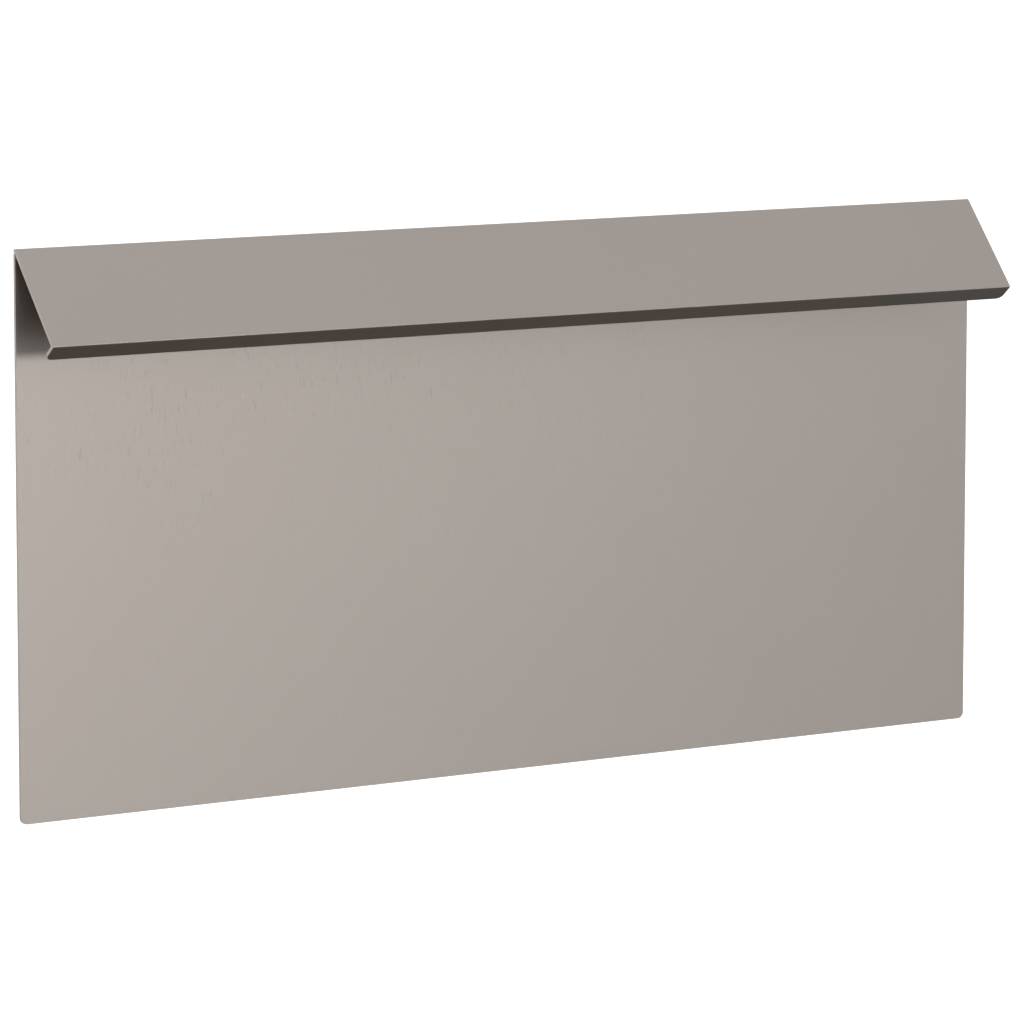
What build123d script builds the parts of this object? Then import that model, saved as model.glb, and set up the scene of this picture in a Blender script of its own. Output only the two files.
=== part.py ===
"""Wall mounted mailbox: a shallow steel housing behind a wide front panel.

The panel is the door. It is hung on its left edge and carries a sloping letter flap along its top, which
covers the letter slot and the lock. Millimetres. +Z is up, +X is right, and the front faces -Y. The origin
is on the wall, in the middle of the four wall holes, at half the panel's height.
"""

import os
from math import asin, atan2, cos, hypot, radians, sin

from build123d import *

os.makedirs("parts", exist_ok=True)

# ---------------------------------------------------------------- driving dimensions
# Front panel and flap
panel_width = 500.0
panel_height = 243.0  # from the flap's top fold down to the panel's bottom edge
panel_sheet = 1.5
corner_radius = 3.0
flap_length = 50.0  # from the top fold to the front fold
flap_slope = 50.0  # degrees below the horizontal
lip_length = 9.3
fold_radius = 0.6  # the folds are V-grooved, so their outer edges are sharp

# Housing
housing_half_width = 202.0
housing_top = 111.0
housing_bottom = -119.0
housing_depth = 82.0
housing_sheet = 1.0
pan_sheet = 1.2
pan_flange = 12.0
floor_flange = 10.0
outer_bend = 3.0
inner_bend = 2.0
drain_radius = 3.0
drain_pitch_x = 120.0
drain_pitch_y = 30.0

# Letter slot, and the gap that the door seal fills
slot_width = 330.0
slot_height = 30.0
slot_bottom = 77.5
seal_gap = 4.0
soft_clearance = 0.3

# Wall holes
wall_hole_radius = 3.25
wall_hole_x = 150.0
wall_hole_z = 70.0

# Hinges
leaf_sheet = 1.2
knuckle_gap = 0.3
flap_pin_radius = 1.5
flap_hinge_length = 480.0
flap_hinge_knuckles = 19
door_pin_radius = 2.0
door_hinge_length = 180.0
door_hinge_knuckles = 7
running_clearance = 0.05  # on the radius
fixed_clearance = 0.02  # on the radius, where the pair doesn't turn

# Lock
lock_x = 182.5
lock_z = 90.0
lock_radius = 8.0
lock_flats = 14.0  # across the barrel's two flats
lock_reach = 15.5  # from the panel's back to the end of the barrel
cam_length = 16.0
cam_sheet = 2.0

# Fasteners
rivet_radius = 1.6
rivet_hole_radius = 1.65
rivet_head_radius = 2.7
rivet_head_height = 1.0
rivet_tail_radius = 2.2
rivet_tail_height = 1.4
stud_radius = 2.0
stud_hole_radius = 2.2
stud_length = 4.0
nut_across_flats = 7.0
nut_height = 2.2

# ---------------------------------------------------------------- places worked out from them
panel_back = housing_depth + seal_gap  # distances from the wall
panel_front = panel_back + panel_sheet
panel_half = panel_width / 2
fold_z = panel_height / 2
panel_bottom = -panel_height / 2
panel_top = fold_z - 2.0
slot_z = slot_bottom + slot_height / 2
inner_half_width = housing_half_width - housing_sheet
inner_top = housing_top - housing_sheet
inner_bottom = housing_bottom + housing_sheet

flap_knuckle_radius = flap_pin_radius + panel_sheet
leaf_knuckle_radius = flap_pin_radius + leaf_sheet
flap_axis_y = -(panel_back - 0.5 - flap_knuckle_radius)
flap_axis_z = fold_z - 3.6

door_knuckle_radius = door_pin_radius + leaf_sheet
door_axis_x = -(housing_half_width + door_knuckle_radius + 0.1)
door_axis_y = -(panel_back - door_knuckle_radius - 0.3)


def under_flap(along, depth):
    """The (y, z) of a point on the flap: along it from the top fold, and at a depth below its outer face."""
    slope = radians(flap_slope)
    y = -panel_front - along * cos(slope) + depth * sin(slope)
    z = fold_z - along * sin(slope) - depth * cos(slope)
    return y, z


def spans(length, count, clearance, first):
    """The (low, high) ends of every second knuckle of a hinge, from number first, centred on zero."""
    pitch = length / count
    start = -length / 2
    return [
        (start + n * pitch + clearance / 2, start + (n + 1) * pitch - clearance / 2)
        for n in range(first, count, 2)
    ]


def save(builder, name):
    """Labels a finished piece and writes it as one STEP file."""
    builder.part.label = name
    export_step(builder.part, f"parts/{name}.step")


# ---------------------------------------------------------------- fasteners, each drawn once
def rivet(grip):
    """A blind rivet along Z: its dome head stands on Z = 0 and its grip goes down."""
    with BuildPart() as piece:
        with BuildSketch(Plane.XY):
            Circle(rivet_head_radius)
        extrude(amount=rivet_head_height)
        fillet(piece.edges().group_by(Axis.Z)[-1], rivet_head_height * 0.8)
        with BuildSketch(Plane.XY):
            Circle(rivet_radius)
        extrude(amount=-grip)
        with BuildSketch(Plane.XY.offset(-grip)):
            Circle(rivet_tail_radius)
        extrude(amount=-rivet_tail_height)
        chamfer(piece.edges().group_by(Axis.Z)[0], 0.4)
    return piece.part


# Outer faces that rivets stand on, each with its Z axis pointing outwards
left_wall = Plane(origin=(-housing_half_width, 0, 0), x_dir=(0, 1, 0), z_dir=(-1, 0, 0))
right_wall = Plane(origin=(housing_half_width, 0, 0), x_dir=(0, 1, 0), z_dir=(1, 0, 0))
top_wall = Plane(origin=(0, 0, housing_top), x_dir=(1, 0, 0), z_dir=(0, 0, 1))
floor_face = Plane(origin=(0, 0, housing_bottom), x_dir=(1, 0, 0), z_dir=(0, 0, -1))


def on_plane(plane, x, y, z):
    """The plane moved to a point of the model, for placing a fastener there."""
    return Plane(origin=(x, y, z), x_dir=plane.x_dir, z_dir=plane.z_dir)


pan_rivet_y = -(pan_sheet + pan_flange) / 2
pan_rivet_zs = (-80.0, 0.0, 80.0)
pan_rivet_xs = (-140.0, 0.0, 140.0)
floor_rivet_ys = (-30.0, -65.0)
floor_rivet_z = inner_bottom + floor_flange * 0.6
leaf_rivet_y = door_axis_y + 17.0
leaf_rivet_zs = (-78.0, -26.0, 26.0, 78.0)
strike_rivet_y = -58.0
strike_rivet_zs = (84.0, 96.0)

side_holes = [(pan_rivet_y, z) for z in pan_rivet_zs]
side_holes += [(y, floor_rivet_z) for y in floor_rivet_ys]
left_holes = side_holes + [(leaf_rivet_y, z) for z in leaf_rivet_zs]
right_holes = side_holes + [(strike_rivet_y, z) for z in strike_rivet_zs]

# ---------------------------------------------------------------- housing
with BuildPart() as housing_shell:
    with BuildSketch(Plane.XZ):
        with BuildLine():
            Polyline(
                (-housing_half_width, housing_bottom),
                (-housing_half_width, housing_top),
                (housing_half_width, housing_top),
                (housing_half_width, housing_bottom),
            )
            offset(amount=housing_sheet, side=Side.RIGHT, kind=Kind.INTERSECTION)
        make_face()
    extrude(amount=housing_depth)
    bends = housing_shell.edges().filter_by(Axis.Y).group_by(Axis.Z)
    fillet(bends[-1], outer_bend)
    fillet(bends[-2], inner_bend)
    with BuildSketch(Plane.YZ):
        with Locations(*left_holes):
            Circle(rivet_hole_radius)
    extrude(amount=-panel_half, mode=Mode.SUBTRACT)
    with BuildSketch(Plane.YZ):
        with Locations(*right_holes):
            Circle(rivet_hole_radius)
    extrude(amount=panel_half, mode=Mode.SUBTRACT)
    with BuildSketch(Plane.XY.offset(housing_top - 5)):
        with Locations(*[(x, pan_rivet_y) for x in pan_rivet_xs]):
            Circle(rivet_hole_radius)
    extrude(amount=10, mode=Mode.SUBTRACT)
save(housing_shell, "housing_shell")

with BuildPart() as back_pan:
    middle_z = (inner_top + inner_bottom) / 2
    pan_height = inner_top - inner_bottom
    with BuildSketch(Plane.XZ):
        with Locations((0, middle_z)):
            Rectangle(2 * inner_half_width, pan_height)
    extrude(amount=pan_sheet + pan_flange)
    with BuildSketch(Plane.XZ.offset(pan_sheet)):
        with Locations((0, middle_z)):
            Rectangle(2 * (inner_half_width - pan_sheet), pan_height - 2 * pan_sheet)
    extrude(amount=pan_flange, mode=Mode.SUBTRACT)
    corner_edges = back_pan.edges().filter_by(Axis.Y)
    fillet(corner_edges.filter_by(lambda e: abs(e.length - pan_sheet - pan_flange) < 0.01), inner_bend)
    with BuildSketch(Plane.XZ):
        with GridLocations(2 * wall_hole_x, 2 * wall_hole_z, 2, 2):
            Circle(wall_hole_radius)
    extrude(amount=pan_sheet, mode=Mode.SUBTRACT)
    with BuildSketch(Plane.YZ):
        with Locations(*[(pan_rivet_y, z) for z in pan_rivet_zs]):
            Circle(rivet_hole_radius)
    extrude(amount=panel_half, both=True, mode=Mode.SUBTRACT)
    with BuildSketch(Plane.XY):
        with Locations(*[(x, pan_rivet_y) for x in pan_rivet_xs]):
            Circle(rivet_hole_radius)
    extrude(amount=panel_half, both=True, mode=Mode.SUBTRACT)
save(back_pan, "back_pan")

with BuildPart() as housing_floor:
    flange_start = -(pan_sheet + pan_flange + 1.0)
    flange_run = housing_depth + flange_start
    flange_y = flange_start - flange_run / 2
    with BuildSketch(Plane.XY.offset(housing_bottom)):
        with Locations((0, -housing_depth / 2)):
            Rectangle(2 * inner_half_width, housing_depth)
    extrude(amount=housing_sheet)
    with BuildSketch(Plane.XY.offset(inner_bottom)):
        for side in (-1, 1):
            with Locations((side * (inner_half_width - housing_sheet / 2), flange_y)):
                Rectangle(housing_sheet, flange_run)
        with Locations((0, -housing_depth + housing_sheet / 2)):
            Rectangle(2 * inner_half_width, housing_sheet)
    extrude(amount=floor_flange)
    with BuildSketch(Plane.YZ):
        with Locations(*[(y, floor_rivet_z) for y in floor_rivet_ys]):
            Circle(rivet_hole_radius)
    extrude(amount=panel_half, both=True, mode=Mode.SUBTRACT)
    with BuildSketch(Plane.XY.offset(housing_bottom)):
        with Locations(*[(x, pan_rivet_y) for x in pan_rivet_xs]):
            Circle(rivet_hole_radius)
        with GridLocations(drain_pitch_x, drain_pitch_y, 3, 2):
            with Locations((0, -45)):
                Circle(drain_radius)
    extrude(amount=housing_sheet, mode=Mode.SUBTRACT)
save(housing_floor, "housing_floor")

with BuildPart() as housing_rivets:
    side_grip = housing_sheet + pan_sheet
    floor_grip = 2 * housing_sheet
    long_rivet = rivet(side_grip)
    short_rivet = rivet(floor_grip)
    for wall, x in ((left_wall, -housing_half_width), (right_wall, housing_half_width)):
        with Locations(*[on_plane(wall, x, pan_rivet_y, z) for z in pan_rivet_zs]):
            add(long_rivet)
        with Locations(*[on_plane(wall, x, y, floor_rivet_z) for y in floor_rivet_ys]):
            add(short_rivet)
    with Locations(*[on_plane(top_wall, x, pan_rivet_y, housing_top) for x in pan_rivet_xs]):
        add(long_rivet)
    with Locations(*[on_plane(floor_face, x, pan_rivet_y, housing_bottom) for x in pan_rivet_xs]):
        add(long_rivet)
save(housing_rivets, "housing_rivets")

# ---------------------------------------------------------------- lock strike
with BuildPart() as lock_strike:
    cam_front_y = -(panel_back - lock_reach - 0.3)
    strike_face_y = cam_front_y - 0.6
    strike_back_x = inner_half_width
    strike_tab = 8.0
    with BuildSketch(Plane.XY.offset(lock_z - 10)):
        with BuildLine():
            Polyline(
                (strike_back_x, -50),
                (strike_back_x, strike_face_y - leaf_sheet),
                (strike_back_x - strike_tab, strike_face_y - leaf_sheet),
            )
            offset(amount=leaf_sheet, side=Side.RIGHT, kind=Kind.INTERSECTION)
        make_face()
    extrude(amount=20)
    with BuildSketch(Plane.YZ):
        with Locations(*[(strike_rivet_y, z) for z in strike_rivet_zs]):
            Circle(rivet_hole_radius)
    extrude(amount=panel_half, mode=Mode.SUBTRACT)
save(lock_strike, "lock_strike")

with BuildPart() as strike_rivets:
    strike_rivet = rivet(housing_sheet + leaf_sheet)
    places = [on_plane(right_wall, housing_half_width, strike_rivet_y, z) for z in strike_rivet_zs]
    with Locations(*places):
        add(strike_rivet)
save(strike_rivets, "strike_rivets")

# ---------------------------------------------------------------- door hinge, at the housing's left edge
body_spans = spans(door_hinge_length, door_hinge_knuckles, knuckle_gap, 0)
door_spans = spans(door_hinge_length, door_hinge_knuckles, knuckle_gap, 1)
body_leaf_width = 28.0
door_leaf_width = 26.0
leaf_notch = door_knuckle_radius + 0.4
stud_x = door_axis_x - 15.0
leaf_stud_zs = (-78.0, -26.0, 26.0, 78.0)

with BuildPart() as door_hinge_body_leaf:
    leaf_face_x = -housing_half_width - leaf_sheet / 2
    with BuildSketch(Plane.XY.offset(-door_hinge_length / 2)):
        with Locations((leaf_face_x, door_axis_y + body_leaf_width / 2)):
            Rectangle(leaf_sheet, body_leaf_width)
    extrude(amount=door_hinge_length)
    for low, high in door_spans:
        with BuildSketch(Plane.XY.offset(low - knuckle_gap)):
            with Locations((leaf_face_x, door_axis_y)):
                Rectangle(2 * leaf_sheet, 2 * leaf_notch)
        extrude(amount=high - low + 2 * knuckle_gap, mode=Mode.SUBTRACT)
    for low, high in body_spans:
        with BuildSketch(Plane.XY.offset(low)):
            with Locations((door_axis_x, door_axis_y)):
                Circle(door_knuckle_radius)
        extrude(amount=high - low)
    with BuildSketch(Plane.XY.offset(-door_hinge_length / 2)):
        with Locations((door_axis_x, door_axis_y)):
            Circle(door_pin_radius + fixed_clearance)
    extrude(amount=door_hinge_length, mode=Mode.SUBTRACT)
    with BuildSketch(Plane.YZ):
        with Locations(*[(leaf_rivet_y, z) for z in leaf_rivet_zs]):
            Circle(rivet_hole_radius)
    extrude(amount=-panel_half, mode=Mode.SUBTRACT)
save(door_hinge_body_leaf, "door_hinge_body_leaf")

with BuildPart() as door_hinge_door_leaf:
    with BuildSketch(Plane.XZ.offset(panel_back - leaf_sheet)):
        with Locations((door_axis_x - door_leaf_width / 2, 0)):
            Rectangle(door_leaf_width, door_hinge_length)
        with Locations(*[(stud_x, z) for z in leaf_stud_zs]):
            Circle(stud_hole_radius, mode=Mode.SUBTRACT)
    extrude(amount=leaf_sheet)
    for low, high in body_spans:
        with BuildSketch(Plane.XY.offset(low - knuckle_gap)):
            with Locations((door_axis_x, -panel_back + leaf_sheet / 2)):
                Rectangle(2 * leaf_notch, 2 * leaf_sheet)
        extrude(amount=high - low + 2 * knuckle_gap, mode=Mode.SUBTRACT)
    for low, high in door_spans:
        with BuildSketch(Plane.XY.offset(low)):
            with Locations((door_axis_x, door_axis_y)):
                Circle(door_knuckle_radius)
        extrude(amount=high - low)
    with BuildSketch(Plane.XY.offset(-door_hinge_length / 2)):
        with Locations((door_axis_x, door_axis_y)):
            Circle(door_pin_radius + running_clearance)
    extrude(amount=door_hinge_length, mode=Mode.SUBTRACT)
save(door_hinge_door_leaf, "door_hinge_door_leaf")

with BuildPart() as door_hinge_pin:
    pin_end = door_hinge_length / 2 + knuckle_gap
    with BuildSketch(Plane.XY.offset(-pin_end)):
        with Locations((door_axis_x, door_axis_y)):
            Circle(door_pin_radius)
    extrude(amount=2 * pin_end)
    for plane_z, run in ((pin_end, 1.2), (-pin_end, -1.2)):
        with BuildSketch(Plane.XY.offset(plane_z)):
            with Locations((door_axis_x, door_axis_y)):
                Circle(door_knuckle_radius - 0.4)
        extrude(amount=run)
    ends = door_hinge_pin.edges().filter_by(GeomType.CIRCLE).group_by(Axis.Z)
    fillet(ends[0] + ends[-1], 0.5)
save(door_hinge_pin, "door_hinge_pin")

with BuildPart() as door_hinge_rivets:
    leaf_rivet = rivet(leaf_sheet + housing_sheet)
    leaf_outer_x = -housing_half_width - leaf_sheet
    places = [on_plane(left_wall, leaf_outer_x, leaf_rivet_y, z) for z in leaf_rivet_zs]
    with Locations(*places):
        add(leaf_rivet)
save(door_hinge_rivets, "door_hinge_rivets")

# ---------------------------------------------------------------- front panel, which is the door
rest_x = 215.0
rest_rivet_z = 98.5
baffle_stud_xs = (-150.0, -50.0, 50.0, 150.0)
baffle_stud_z = 64.0

with BuildPart() as front_panel:
    with BuildSketch(Plane.XZ.offset(panel_back)) as panel_outline:
        with Locations((0, (panel_top + panel_bottom) / 2)):
            Rectangle(panel_width, panel_top - panel_bottom)
        fillet(panel_outline.vertices().group_by(Axis.Y)[0], corner_radius)
        with Locations((0, slot_z)):
            RectangleRounded(slot_width, slot_height, 2, mode=Mode.SUBTRACT)
        with Locations((lock_x, lock_z)):
            SlotOverall(2 * lock_radius + 0.2, lock_flats + 0.2, rotation=90, mode=Mode.SUBTRACT)
        with Locations((-rest_x, rest_rivet_z), (rest_x, rest_rivet_z)):
            Circle(rivet_hole_radius, mode=Mode.SUBTRACT)
    extrude(amount=panel_sheet)
    # The top edge is bevelled to the slope of the flap that closes over it
    with BuildSketch(Plane.YZ.offset(-panel_half)):
        bevel_depth = panel_sheet + soft_clearance
        bevel_reach = 4 * panel_sheet
        Polygon(
            under_flap(-bevel_reach, bevel_depth),
            under_flap(bevel_reach, bevel_depth),
            under_flap(bevel_reach, -bevel_depth),
            under_flap(-bevel_reach, -bevel_depth),
            align=None,
        )
    extrude(amount=panel_width, mode=Mode.SUBTRACT)
save(front_panel, "front_panel")

with BuildPart() as weld_studs:
    with BuildSketch(Plane.XZ.offset(panel_back)):
        with Locations(*[(stud_x, z) for z in leaf_stud_zs]):
            Circle(stud_radius)
        with Locations(*[(x, baffle_stud_z) for x in baffle_stud_xs]):
            Circle(stud_radius)
    extrude(amount=-stud_length)
    chamfer(weld_studs.edges().filter_by(GeomType.CIRCLE).group_by(Axis.Y)[-1], 0.4)
save(weld_studs, "weld_studs")

with BuildPart() as stud_nuts:
    with BuildSketch(Plane.XZ.offset(panel_back - leaf_sheet)):
        nut_places = [(stud_x, z) for z in leaf_stud_zs] + [(x, baffle_stud_z) for x in baffle_stud_xs]
        with Locations(*nut_places):
            RegularPolygon(nut_across_flats / 2, 6, major_radius=False)
            Circle(stud_radius + fixed_clearance, mode=Mode.SUBTRACT)
    extrude(amount=-nut_height)
save(stud_nuts, "stud_nuts")

with BuildPart() as door_seal:
    seal_outer_x = housing_half_width - 0.2
    seal_inner_x = housing_half_width - 7.0
    seal_top = housing_top + 0.5
    seal_bottom = housing_bottom - 1.0
    seal_width = 4.0
    with BuildSketch(Plane.XZ.offset(panel_back)):
        with Locations((0, (seal_top + seal_bottom) / 2)):
            RectangleRounded(2 * seal_outer_x, seal_top - seal_bottom, 1.5)
            RectangleRounded(
                2 * seal_inner_x, seal_top - seal_bottom - 2 * seal_width, 1, mode=Mode.SUBTRACT
            )
    extrude(amount=-(seal_gap - soft_clearance))
save(door_seal, "door_seal")

with BuildPart() as mail_baffle:
    baffle_half_width = 172.0
    baffle_top = slot_bottom - 1.2
    baffle_end_y = -45.0
    with BuildSketch(Plane.YZ.offset(-baffle_half_width)):
        with BuildLine():
            Polyline(
                (-panel_back, baffle_top - 16),
                (-panel_back, baffle_top),
                (baffle_end_y, baffle_top - 34),
                (baffle_end_y, baffle_top - 44),
            )
            offset(amount=leaf_sheet, side=Side.RIGHT, kind=Kind.INTERSECTION)
        make_face()
    extrude(amount=2 * baffle_half_width)
    with BuildSketch(Plane.XZ.offset(panel_back)):
        with Locations(*[(x, baffle_stud_z) for x in baffle_stud_xs]):
            Circle(stud_hole_radius)
    extrude(amount=-2 * leaf_sheet, mode=Mode.SUBTRACT)
save(mail_baffle, "mail_baffle")

# ---------------------------------------------------------------- flap hinge, along the panel's top edge
flap_spans = spans(flap_hinge_length, flap_hinge_knuckles, knuckle_gap, 0)
leaf_spans = spans(flap_hinge_length, flap_hinge_knuckles, knuckle_gap, 1)
flap_leaf_bottom = seal_top + 0.5
flap_leaf_notch_z = flap_axis_z - flap_knuckle_radius - 0.4

with BuildPart() as flap_hinge_leaf:
    with BuildSketch(Plane.XZ.offset(panel_back - leaf_sheet)):
        with Locations((0, (flap_leaf_bottom + flap_axis_z) / 2)):
            Rectangle(flap_hinge_length, flap_axis_z - flap_leaf_bottom)
    extrude(amount=leaf_sheet)
    for low, high in flap_spans:
        with BuildSketch(Plane.XZ.offset(panel_back)):
            with Locations(((low + high) / 2, (flap_leaf_notch_z + fold_z) / 2)):
                Rectangle(high - low + 2 * knuckle_gap, fold_z - flap_leaf_notch_z)
        extrude(amount=-2 * leaf_sheet, mode=Mode.SUBTRACT)
    for low, high in leaf_spans:
        with BuildSketch(Plane.YZ.offset(low)):
            with Locations((flap_axis_y, flap_axis_z)):
                Circle(leaf_knuckle_radius)
        extrude(amount=high - low)
    with BuildSketch(Plane.YZ.offset(-panel_half)):
        with Locations((flap_axis_y, flap_axis_z)):
            Circle(flap_pin_radius + fixed_clearance)
    extrude(amount=panel_width, mode=Mode.SUBTRACT)
save(flap_hinge_leaf, "flap_hinge_leaf")

with BuildPart() as flap_hinge_pin:
    flap_pin_end = flap_hinge_length / 2 + 1.5
    with BuildSketch(Plane.YZ.offset(-flap_pin_end)):
        with Locations((flap_axis_y, flap_axis_z)):
            Circle(flap_pin_radius)
    extrude(amount=2 * flap_pin_end)
    fillet(flap_hinge_pin.edges().filter_by(GeomType.CIRCLE), 0.4)
save(flap_hinge_pin, "flap_hinge_pin")

# ---------------------------------------------------------------- letter flap, with its lip and knuckles
with BuildPart() as letter_flap:
    # The root runs back from the top fold and meets its knuckles at a tangent
    to_axis_y = flap_axis_y + panel_front
    to_axis_z = flap_axis_z - fold_z
    to_axis = hypot(to_axis_y, to_axis_z)
    root_angle = atan2(to_axis_z, to_axis_y) + asin(flap_knuckle_radius / to_axis)
    root_length = (to_axis**2 - flap_knuckle_radius**2) ** 0.5
    root_end = (
        -panel_front + root_length * cos(root_angle),
        fold_z + root_length * sin(root_angle),
    )
    with BuildSketch(Plane.YZ.offset(-panel_half)):
        with BuildLine():
            Polyline(
                root_end,
                (-panel_front, fold_z),
                under_flap(flap_length, 0),
                under_flap(flap_length, lip_length),
            )
            offset(amount=panel_sheet, side=Side.LEFT, kind=Kind.INTERSECTION)
        make_face()
    extrude(amount=panel_width)
    long_edges = letter_flap.edges().filter_by(Axis.X)
    top_fold = long_edges.sort_by_distance((0, -panel_front, fold_z))[0]
    front_fold = long_edges.sort_by_distance((0, *under_flap(flap_length, 0)))[0]
    fillet([top_fold, front_fold], fold_radius)
    lip_end = under_flap(flap_length - panel_sheet / 2, lip_length)
    for side in (-1, 1):
        corner = letter_flap.edges().sort_by_distance((side * panel_half, *lip_end))[0]
        fillet(corner, corner_radius)
    # Between its own knuckles the root stops above the panel
    root_cut_y = -(panel_back + 0.2)
    outer_run = (panel_width - flap_hinge_length) / 2
    gaps = leaf_spans + [(-panel_half, -panel_half + outer_run), (panel_half - outer_run, panel_half)]
    for low, high in gaps:
        with BuildSketch(Plane.YZ.offset(low - knuckle_gap)):
            with Locations((root_cut_y, flap_axis_z)):
                Rectangle(20, 20, align=(Align.MIN, Align.CENTER))
        extrude(amount=high - low + 2 * knuckle_gap, mode=Mode.SUBTRACT)
    for low, high in flap_spans:
        with BuildSketch(Plane.YZ.offset(low)):
            with Locations((flap_axis_y, flap_axis_z)):
                Circle(flap_knuckle_radius)
        extrude(amount=high - low)
    with BuildSketch(Plane.YZ.offset(-panel_half)):
        with Locations((flap_axis_y, flap_axis_z)):
            Circle(flap_pin_radius + running_clearance)
    extrude(amount=panel_width, mode=Mode.SUBTRACT)
save(letter_flap, "letter_flap")

# ---------------------------------------------------------------- rests that hold the closed flap
pad_height = 2.0
pad_depth = panel_sheet + soft_clearance  # below the flap's outer face
rest_depth = pad_depth + pad_height
rest_start = rest_depth * sin(radians(flap_slope)) / cos(radians(flap_slope))
rest_width = 12.0
rest_length = 16.0

for side, name in ((-1, "flap_rest_left"), (1, "flap_rest_right")):
    with BuildPart() as flap_rest:
        with BuildSketch(Plane.YZ.offset(side * rest_x - rest_width / 2)):
            with BuildLine():
                Polyline(
                    (-panel_front, rest_rivet_z - 4.5),
                    under_flap(rest_start, rest_depth),
                    under_flap(rest_start + rest_length, rest_depth),
                )
                offset(amount=panel_sheet, side=Side.LEFT, kind=Kind.INTERSECTION)
            make_face()
        extrude(amount=rest_width)
        with BuildSketch(Plane.XZ.offset(panel_front)):
            with Locations((side * rest_x, rest_rivet_z)):
                Circle(rivet_hole_radius)
        extrude(amount=panel_sheet, mode=Mode.SUBTRACT)
    save(flap_rest, name)

with BuildPart() as flap_rest_pads:
    for side in (-1, 1):
        with BuildSketch(Plane.YZ.offset(side * rest_x - rest_width / 2 + 1)):
            Polygon(
                under_flap(rest_start + 4, rest_depth),
                under_flap(rest_start + 14, rest_depth),
                under_flap(rest_start + 14, pad_depth),
                under_flap(rest_start + 4, pad_depth),
                align=None,
            )
        extrude(amount=rest_width - 2)
save(flap_rest_pads, "flap_rest_pads")

with BuildPart() as flap_rest_rivets:
    rest_face = Plane(origin=(0, -panel_front - panel_sheet, 0), x_dir=(1, 0, 0), z_dir=(0, -1, 0))
    rest_rivet = rivet(2 * panel_sheet)
    rest_rivet_y = -panel_front - panel_sheet
    with Locations(*[on_plane(rest_face, x, rest_rivet_y, rest_rivet_z) for x in (-rest_x, rest_x)]):
        add(rest_rivet)
save(flap_rest_rivets, "flap_rest_rivets")

# ---------------------------------------------------------------- cam lock, behind the flap at the right
barrel_end = panel_back - lock_reach
head_height = 2.5
plug_radius = 5.0
tang_width = 7.0
cam_front = barrel_end - soft_clearance

with BuildPart() as lock_barrel:
    with BuildSketch(Plane.XZ.offset(panel_front)):
        with Locations((lock_x, lock_z)):
            Circle(lock_radius + 1.5)
    extrude(amount=head_height)
    chamfer(lock_barrel.edges().filter_by(GeomType.CIRCLE).group_by(Axis.Y)[0], 0.7)
    with BuildSketch(Plane.XZ.offset(barrel_end)):
        with Locations((lock_x, lock_z)):
            SlotOverall(2 * lock_radius, lock_flats, rotation=90)
    extrude(amount=panel_front - barrel_end)
    with BuildSketch(Plane.XZ.offset(barrel_end)):
        with Locations((lock_x, lock_z)):
            Circle(plug_radius + running_clearance)
    extrude(amount=panel_front + head_height - barrel_end, mode=Mode.SUBTRACT)
save(lock_barrel, "lock_barrel")

with BuildPart() as lock_nut:
    with BuildSketch(Plane.XZ.offset(panel_back)):
        with Locations((lock_x, lock_z)):
            RegularPolygon(10, 6, major_radius=False)
            SlotOverall(2 * lock_radius + 0.1, lock_flats + 0.1, rotation=90, mode=Mode.SUBTRACT)
    extrude(amount=-3.6)
save(lock_nut, "lock_nut")

with BuildPart() as lock_plug:
    plug_front = panel_front + head_height - 0.3
    with BuildSketch(Plane.XZ.offset(barrel_end)):
        with Locations((lock_x, lock_z)):
            Circle(plug_radius)
    extrude(amount=plug_front - barrel_end)
    with BuildSketch(Plane.XZ.offset(barrel_end)):
        with Locations((lock_x, lock_z)):
            Rectangle(tang_width, tang_width)
    extrude(amount=-(soft_clearance + cam_sheet))
    with BuildSketch(Plane.XZ.offset(plug_front)):
        with Locations((lock_x, lock_z)):
            Rectangle(1.4, 7)
            with Locations((0.7, -1.5)):
                Rectangle(1.4, 1.6)
    extrude(amount=-12, mode=Mode.SUBTRACT)
    with BuildSketch(Plane.XZ.offset(cam_front - cam_sheet)):
        with Locations((lock_x, lock_z)):
            Circle(1.65)
    extrude(amount=6, mode=Mode.SUBTRACT)
save(lock_plug, "lock_plug")

with BuildPart() as lock_cam:
    with BuildSketch(Plane.XZ.offset(cam_front)):
        with Locations((lock_x, lock_z)):
            Circle(7)
        with Locations((lock_x, lock_z - cam_length / 2)):
            Rectangle(11, cam_length)
    extrude(amount=-cam_sheet)
    tip_edges = lock_cam.edges().filter_by(Axis.Y).group_by(Axis.Z)[0]
    fillet(tip_edges, 3.5)
    with BuildSketch(Plane.XZ.offset(cam_front)):
        with Locations((lock_x, lock_z)):
            Rectangle(tang_width + 0.04, tang_width + 0.04)
    extrude(amount=-cam_sheet, mode=Mode.SUBTRACT)
save(lock_cam, "lock_cam")

with BuildPart() as cam_screw:
    screw_seat = cam_front - cam_sheet
    screw_head_height = 2.2
    with BuildSketch(Plane.XZ.offset(screw_seat)):
        with Locations((lock_x, lock_z)):
            Circle(4.6)
    extrude(amount=-screw_head_height)
    fillet(cam_screw.edges().filter_by(GeomType.CIRCLE).group_by(Axis.Y)[-1], 0.8)
    with BuildSketch(Plane.XZ.offset(screw_seat)):
        with Locations((lock_x, lock_z)):
            Circle(1.6)
    extrude(amount=5.5)
    with BuildSketch(Plane.XZ.offset(screw_seat - screw_head_height)):
        with Locations((lock_x, lock_z)):
            Rectangle(5, 0.9)
            Rectangle(0.9, 5)
    extrude(amount=1.2, mode=Mode.SUBTRACT)
save(cam_screw, "cam_screw")
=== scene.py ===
"""Looks of the wall mounted mailbox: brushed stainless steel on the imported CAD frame, in a bright studio."""

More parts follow.
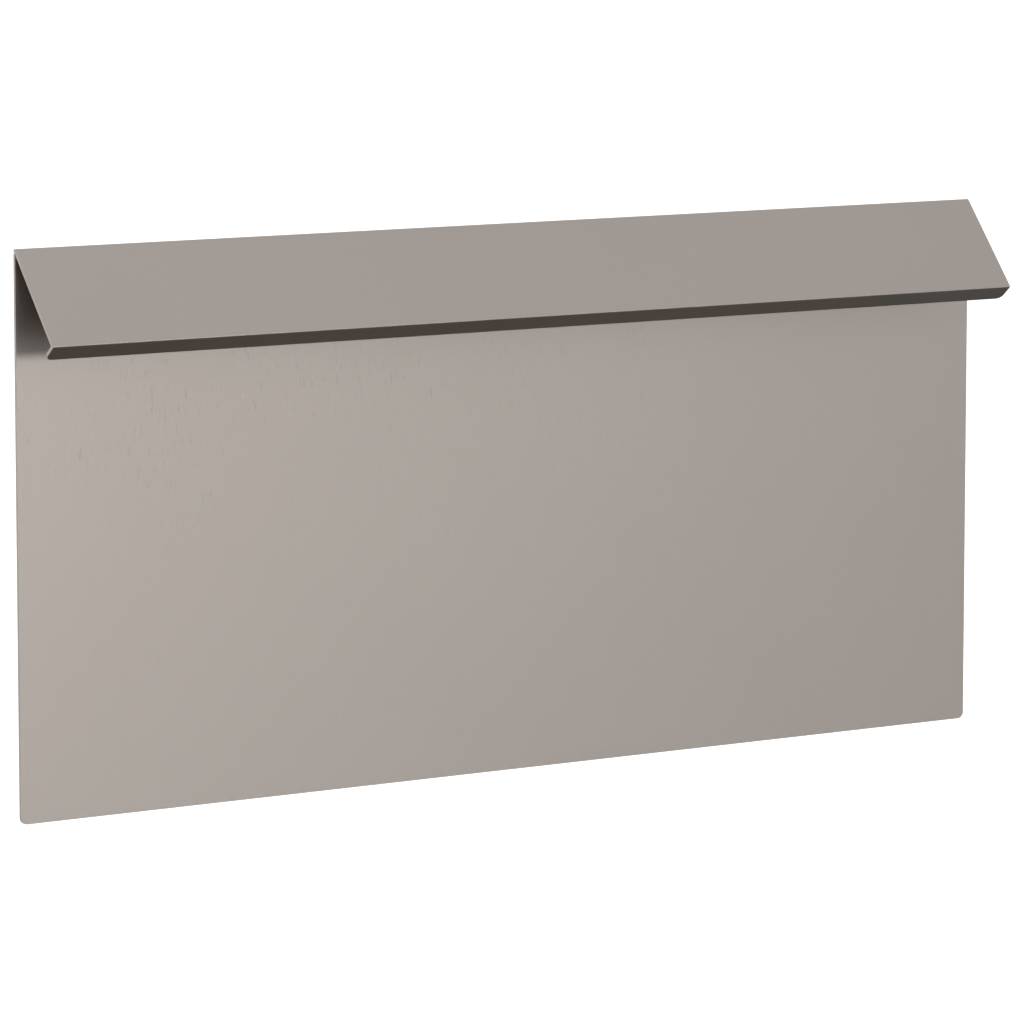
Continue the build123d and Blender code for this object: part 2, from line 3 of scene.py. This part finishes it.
from math import radians

import bpy
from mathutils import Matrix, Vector


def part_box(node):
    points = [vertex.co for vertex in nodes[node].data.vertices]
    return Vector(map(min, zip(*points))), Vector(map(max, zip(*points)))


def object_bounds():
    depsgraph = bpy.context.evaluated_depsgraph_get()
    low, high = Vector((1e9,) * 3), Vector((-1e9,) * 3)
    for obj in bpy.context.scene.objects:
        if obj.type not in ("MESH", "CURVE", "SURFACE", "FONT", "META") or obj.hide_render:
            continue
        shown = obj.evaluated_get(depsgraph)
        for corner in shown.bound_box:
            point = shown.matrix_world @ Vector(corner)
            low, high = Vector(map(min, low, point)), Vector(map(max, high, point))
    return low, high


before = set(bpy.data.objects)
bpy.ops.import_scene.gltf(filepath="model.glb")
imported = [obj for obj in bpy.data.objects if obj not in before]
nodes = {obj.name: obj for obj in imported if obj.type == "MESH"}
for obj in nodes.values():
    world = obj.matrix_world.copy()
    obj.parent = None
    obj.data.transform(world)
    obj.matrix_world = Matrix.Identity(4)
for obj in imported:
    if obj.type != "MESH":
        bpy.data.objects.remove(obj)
cad_low, cad_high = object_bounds()
cad_low, cad_high = list(cad_low), list(cad_high)


# ---------------------------------------------------------------- node helpers
class Shader:
    """A material's node tree, with short calls for the nodes that the finishes share."""

    def __init__(self, name):
        self.material = bpy.data.materials.new(name)
        self.material.use_nodes = True
        self.tree = self.material.node_tree
        self.surface = self.tree.nodes["Principled BSDF"]
        self.place = self.add("ShaderNodeTexCoord").outputs["Object"]

    def add(self, kind, **settings):
        node = self.tree.nodes.new(kind)
        for name, value in settings.items():
            setattr(node, name, value)
        return node

    def join(self, start, end):
        self.tree.links.new(start, end)

    def noise(self, scale, detail=2.0, rough=0.5, offset=(0, 0, 0)):
        """Noise in metres: scale is how many cells there are in a metre along each axis."""
        stretch = self.add("ShaderNodeMapping")
        stretch.inputs["Scale"].default_value = scale
        stretch.inputs["Location"].default_value = offset
        self.join(self.place, stretch.inputs["Vector"])
        node = self.add("ShaderNodeTexNoise")
        node.inputs["Scale"].default_value = 1.0
        node.inputs["Detail"].default_value = detail
        node.inputs["Roughness"].default_value = rough
        self.join(stretch.outputs["Vector"], node.inputs["Vector"])
        return node.outputs["Fac"]

    def spread(self, value, low, high, start=0.3, end=0.7):
        """The value between start and end, spread over low to high."""
        node = self.add("ShaderNodeMapRange")
        self.join(value, node.inputs["Value"])
        for name, number in (("From Min", start), ("From Max", end), ("To Min", low), ("To Max", high)):
            node.inputs[name].default_value = number
        return node.outputs["Result"]

    def combine(self, how, first, second):
        """A math node over values that are numbers or sockets."""
        node = self.add("ShaderNodeMath", operation=how)
        for value, socket in ((first, node.inputs[0]), (second, node.inputs[1])):
            if isinstance(value, (int, float)):
                socket.default_value = value
            else:
                self.join(value, socket)
        return node.outputs[0]

    def tint(self, colour, amount):
        """The colour made lighter or darker by the amount, a value near 1."""
        node = self.add("ShaderNodeVectorMath", operation="SCALE")
        node.inputs[0].default_value = colour
        self.join(amount, node.inputs["Scale"])
        self.join(node.outputs["Vector"], self.surface.inputs["Base Color"])

    def relief(self, height, distance, strength=1.0):
        node = self.add("ShaderNodeBump")
        node.inputs["Strength"].default_value = strength
        node.inputs["Distance"].default_value = distance
        self.join(height, node.inputs["Height"])
        self.join(node.outputs["Normal"], self.surface.inputs["Normal"])


# The panel's painted reflection streaks (darker strokes and lighter glints in the colour) fade between these
# distances from its edges, in metres
painted_streak_start_below_top = 0.0495
painted_streak_end_below_top = 0.1495
painted_streak_start_in = 0.05
painted_streak_end_in = 0.08

# How deep a stroke is beside the fine grain
groove_depth = 3.0


def brushed(name, colour, grain, roughness, tone=0.03, relief=0.00002, cloud=0.02):
    """Brushed or drawn steel: fine lines along one axis, over a faint broad clouding."""
    look = Shader(name)
    fine = look.noise(grain, detail=3.0, rough=0.6)
    broad = look.noise((9, 9, 9), detail=2.0)
    tones = look.combine("ADD", look.spread(fine, 1 - tone, 1 + tone), look.spread(broad, -cloud, cloud))
    look.tint(colour, tones)
    lines = look.spread(fine, roughness - 0.04, roughness + 0.04)
    patches = look.spread(broad, -0.02, 0.02)
    look.join(look.combine("ADD", lines, patches), look.surface.inputs["Roughness"])
    look.surface.inputs["Metallic"].default_value = 1.0
    look.relief(fine, relief)
    return look.material


def panel_finish(name, colour, roughness):
    """The panel's upright brushing, with sparse darker strokes and lighter glints painted into its colour as
    painted reflection of the hood; they fade out down and across the panel.
    """
    look = Shader(name)
    fine = look.noise((1900, 1900, 40), detail=3.0, rough=0.6)
    strokes = look.noise((950, 950, 130), detail=2.0, rough=0.55, offset=(0.3, 0, 0.1))
    glints = look.noise((1100, 1100, 150), detail=2.0, rough=0.55, offset=(0.7, 0, 0.4))
    clusters = look.spread(look.noise((24, 24, 24)), 0.2, 1.3, 0.38, 0.62)
    broad = look.noise((7, 7, 7), detail=2.0)
    axes = look.add("ShaderNodeSeparateXYZ")
    look.join(look.place, axes.inputs[0])
    (left_edge, _, _), (right_edge, _, top_edge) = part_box("front_panel")
    faded, full = top_edge - painted_streak_end_below_top, top_edge - painted_streak_start_below_top
    upper = look.spread(axes.outputs["Z"], 0.12, 1.25, faded, full)
    left = look.spread(axes.outputs["X"], 1.0, 0.12, left_edge + painted_streak_start_in, right_edge - painted_streak_end_in)
    shown = look.combine("MULTIPLY", look.combine("MULTIPLY", upper, left), clusters)
    # Painted shade: darker grain strokes in the colour stand for the hood's reflection on the brushing,
    # strongest at the upper left
    painted_streak_shade = look.combine("MULTIPLY", look.spread(strokes, 0.0, 0.2, 0.60, 0.76), shown)
    # Painted highlight: lighter glints in the colour stand for light catching the grain at the upper left
    light = look.combine("MULTIPLY", look.spread(glints, 0.0, 0.08, 0.62, 0.76), shown)
    tones = look.combine("ADD", look.spread(fine, 0.985, 1.015), look.spread(broad, -0.008, 0.008))
    look.tint(colour, look.combine("SUBTRACT", look.combine("ADD", tones, light), painted_streak_shade))
    look.join(look.spread(fine, roughness - 0.03, roughness + 0.03), look.surface.inputs["Roughness"])
    look.surface.inputs["Metallic"].default_value = 1.0
    grooves = look.combine("MULTIPLY", painted_streak_shade, groove_depth)
    look.relief(look.combine("SUBTRACT", fine, grooves), 0.000012)
    return look.material


def foam(name, colour, cells):
    """Closed-cell rubber: small pits and a dull surface."""
    look = Shader(name)
    pits = look.noise((cells, cells, cells), detail=3.0, rough=0.7)
    broad = look.noise((60, 60, 60))
    look.tint(colour, look.combine("ADD", look.spread(pits, 0.7, 1.25), look.spread(broad, -0.1, 0.1)))
    look.join(look.spread(pits, 0.75, 0.95), look.surface.inputs["Roughness"])
    look.relief(pits, 0.0002, 0.8)
    return look.material


# ---------------------------------------------------------------- finishes
front_steel = (0.43, 0.388, 0.357)
housing_grey = (0.46, 0.44, 0.425)
hinge_grey = (0.50, 0.485, 0.47)
panel_steel = panel_finish("panel_steel", front_steel, 0.42)
flap_steel = brushed(
    "flap_steel", front_steel, (30, 1600, 1600), 0.42, tone=0.003, relief=0.00003, cloud=0.008
)
housing_steel = brushed("housing_steel", housing_grey, (20, 900, 900), 0.38, tone=0.055, cloud=0.03)
fitting_steel = brushed("fitting_steel", housing_grey, (35, 1200, 1200), 0.33)
hinge_steel = brushed("hinge_steel", hinge_grey, (1500, 1500, 30), 0.30, relief=0.000005)
flap_leaf_steel = brushed("flap_leaf_steel", hinge_grey, (30, 1500, 1500), 0.30, relief=0.000005)
pin_steel = brushed("pin_steel", (0.55, 0.54, 0.53), (1800, 1800, 1800), 0.2)
rivet_aluminium = brushed("rivet_aluminium", (0.66, 0.66, 0.67), (1400, 1400, 1400), 0.34, tone=0.05)
nut_steel = brushed("nut_steel", (0.52, 0.51, 0.50), (1100, 1100, 1100), 0.25, tone=0.05)
lock_chrome = brushed("lock_chrome", (0.66, 0.66, 0.68), (900, 900, 900), 0.12, tone=0.02, cloud=0.01)
lock_nickel = brushed("lock_nickel", (0.60, 0.575, 0.52), (2200, 2200, 2200), 0.24)
lock_brass = brushed("lock_brass", (0.66, 0.50, 0.24), (1300, 1300, 1300), 0.28, tone=0.06)
cam_zinc = brushed("cam_zinc", (0.55, 0.56, 0.58), (700, 700, 700), 0.34, tone=0.07, cloud=0.05)
seal_rubber = foam("seal_rubber", (0.03, 0.03, 0.032), 2500)
pad_rubber = foam("pad_rubber", (0.035, 0.035, 0.037), 1200)

finishes = {
    "front_panel": panel_steel,
    "letter_flap": flap_steel,
    "back_pan": housing_steel,
    "housing_shell": housing_steel,
    "housing_floor": housing_steel,
    "mail_baffle": fitting_steel,
    "lock_strike": fitting_steel,
    "flap_rest_left": fitting_steel,
    "flap_rest_right": fitting_steel,
    "door_hinge_body_leaf": hinge_steel,
    "door_hinge_door_leaf": hinge_steel,
    "flap_hinge_leaf": flap_leaf_steel,
    "door_hinge_pin": pin_steel,
    "flap_hinge_pin": pin_steel,
    "weld_studs": pin_steel,
    "stud_nuts": nut_steel,
    "housing_rivets": rivet_aluminium,
    "strike_rivets": rivet_aluminium,
    "door_hinge_rivets": rivet_aluminium,
    "flap_rest_rivets": rivet_aluminium,
    "door_seal": seal_rubber,
    "flap_rest_pads": pad_rubber,
    "lock_barrel": lock_chrome,
    "lock_plug": lock_nickel,
    "lock_nut": lock_brass,
    "lock_cam": cam_zinc,
    "cam_screw": cam_zinc,
}
for name, node in nodes.items():
    node.data.materials.clear()
    node.data.materials.append(finishes[name])

# ---------------------------------------------------------------- floor
floor_height = -3.2
floor_radius = 90

bpy.ops.mesh.primitive_circle_add(
    vertices=96, radius=floor_radius, fill_type="NGON", location=(0, 0, floor_height)
)
floor = bpy.context.object
floor.name = "studio_floor"
pale = Shader("studio_floor")
pale.tint((0.86, 0.86, 0.86), pale.spread(pale.noise((2, 2, 2)), 0.99, 1.01))
pale.surface.inputs["Roughness"].default_value = 0.9
pale.surface.inputs["Emission Color"].default_value = (1, 1, 1, 1)
pale.surface.inputs["Emission Strength"].default_value = 0.5
floor.data.materials.append(pale.material)
floor.visible_glossy = False
floor.visible_diffuse = False

# ---------------------------------------------------------------- light
room_levels = (
    (-1.0, 0.06), (-0.79, 0.07), (-0.63, 0.26), (-0.44, 0.8), (-0.28, 0.56), (-0.12, 0.36), (-0.05, 0.33),
    (0.15, 0.37), (0.5, 0.85), (1.0, 0.88),
)
strip_levels = ((-0.07, 0.0), (-0.02, 0.75), (0.02, 1.0), (0.08, 1.0), (0.12, 0.45), (0.17, 0.0))
strip_direction = Vector((0.08, -1.0, 0.06)).normalized()
strip_focus = 16.0
strip_power = 10.6
brighter_left = 1.4
dimmer_right = 0.75

world = bpy.data.worlds.new("studio")
bpy.context.scene.world = world
world.use_nodes = True
tree = world.node_tree
tree.nodes.clear()


def sky(kind, **settings):
    node = tree.nodes.new(kind)
    for name, value in settings.items():
        setattr(node, name, value)
    return node


direction = sky("ShaderNodeTexCoord").outputs["Generated"]
heading = sky("ShaderNodeSeparateXYZ")
tree.links.new(direction, heading.inputs[0])


def by_height(levels):
    """A strength that follows the direction's height, from -1 straight down to 1 straight up."""
    rise = sky("ShaderNodeMapRange")
    rise.inputs["From Min"].default_value = -1.0
    tree.links.new(heading.outputs["Z"], rise.inputs["Value"])
    height = sky("ShaderNodeValToRGB")
    tree.links.new(rise.outputs["Result"], height.inputs["Fac"])
    ramp = height.color_ramp
    while len(ramp.elements) < len(levels):
        ramp.elements.new(0.5)
    for step, (z, value) in zip(ramp.elements, levels):
        step.position = (z + 1) / 2
        step.color = (value, value, value, 1)
    return height


def combine(how, *values):
    """A math node over values that are numbers or sockets."""
    node = sky("ShaderNodeMath", operation=how)
    for value, socket in zip(values, node.inputs):
        if isinstance(value, (int, float)):
            socket.default_value = value
        else:
            tree.links.new(value, socket)
    return node


# The room: pale overhead, dim at the horizon, a pale band below it, dark underneath; dimmer to the right
room = by_height(room_levels)
side = sky("ShaderNodeMapRange")
side.inputs["From Min"].default_value = -0.5
side.inputs["From Max"].default_value = 1.0
side.inputs["To Min"].default_value = brighter_left
side.inputs["To Max"].default_value = dimmer_right
tree.links.new(heading.outputs["X"], side.inputs["Value"])
dimmed = combine("MULTIPLY", room.outputs["Color"], side.outputs["Result"])

# A low strip of light in front, just above the horizon and a little to the right
strip = by_height(strip_levels)
toward = sky("ShaderNodeVectorMath", operation="DOT_PRODUCT")
tree.links.new(direction, toward.inputs[0])
toward.inputs[1].default_value = strip_direction
facing = combine("MAXIMUM", toward.outputs["Value"], 0.0)
lobe = combine("POWER", facing.outputs[0], strip_focus)
shaped = combine("MULTIPLY", strip.outputs["Color"], lobe.outputs[0])
glow = combine("MULTIPLY_ADD", shaped.outputs[0], strip_power, dimmed.outputs[0])

# The camera sees plain white behind the object, and everything else sees the studio
around = sky("ShaderNodeBackground")
tree.links.new(glow.outputs[0], around.inputs["Strength"])
backdrop = sky("ShaderNodeBackground")
path = sky("ShaderNodeLightPath")
choose = sky("ShaderNodeMixShader")
output = sky("ShaderNodeOutputWorld")
around.inputs["Color"].default_value = (1, 1, 1, 1)
backdrop.inputs["Color"].default_value = (1, 1, 1, 1)
tree.links.new(path.outputs["Is Camera Ray"], choose.inputs["Fac"])
tree.links.new(around.outputs[0], choose.inputs[1])
tree.links.new(backdrop.outputs[0], choose.inputs[2])
tree.links.new(choose.outputs[0], output.inputs["Surface"])


def softbox(name, place, target, size, power):
    """A large soft light that points from its place at a target."""
    light = bpy.data.lights.new(name, "AREA")
    light.shape = "RECTANGLE"
    light.size, light.size_y = size
    light.energy = power
    lamp = bpy.data.objects.new(name, light)
    bpy.context.scene.collection.objects.link(lamp)
    lamp.location = place
    lamp.rotation_euler = (Vector(target) - Vector(place)).to_track_quat("-Z", "Y").to_euler()
    lamp.visible_camera = False


front_aim = (0, -0.1, 0)
rear_aim = (0, -0.05, 0)
softbox("key", (-2.5, -1.5, 3.0), front_aim, (2.5, 2.5), 30)
softbox("rear_left", (-2.4, 2.6, 1.4), rear_aim, (1.5, 1.5), 26)
softbox("edge", (-2.2, 3.1, 0.1), rear_aim, (1.6, 1.6), 5)
softbox("rear_right", (2.8, 1.6, 0.8), rear_aim, (1.2, 1.8), 14)

# ---------------------------------------------------------------- camera
camera_place = (-1.4066, -2.2144, 0.3254)
camera_tilt_down = radians(7.417)
camera_turn = radians(-33.4286)

camera = bpy.data.cameras.new("camera")
camera.sensor_width = 36
camera.lens = 204.72
viewer = bpy.data.objects.new("camera", camera)
bpy.context.scene.collection.objects.link(viewer)
viewer.location = camera_place
viewer.rotation_euler = (radians(90) - camera_tilt_down, 0, camera_turn)
bpy.context.scene.camera = viewer
bpy.context.scene.view_settings.view_transform = "Standard"
bpy.context.scene.view_settings.look = "None"
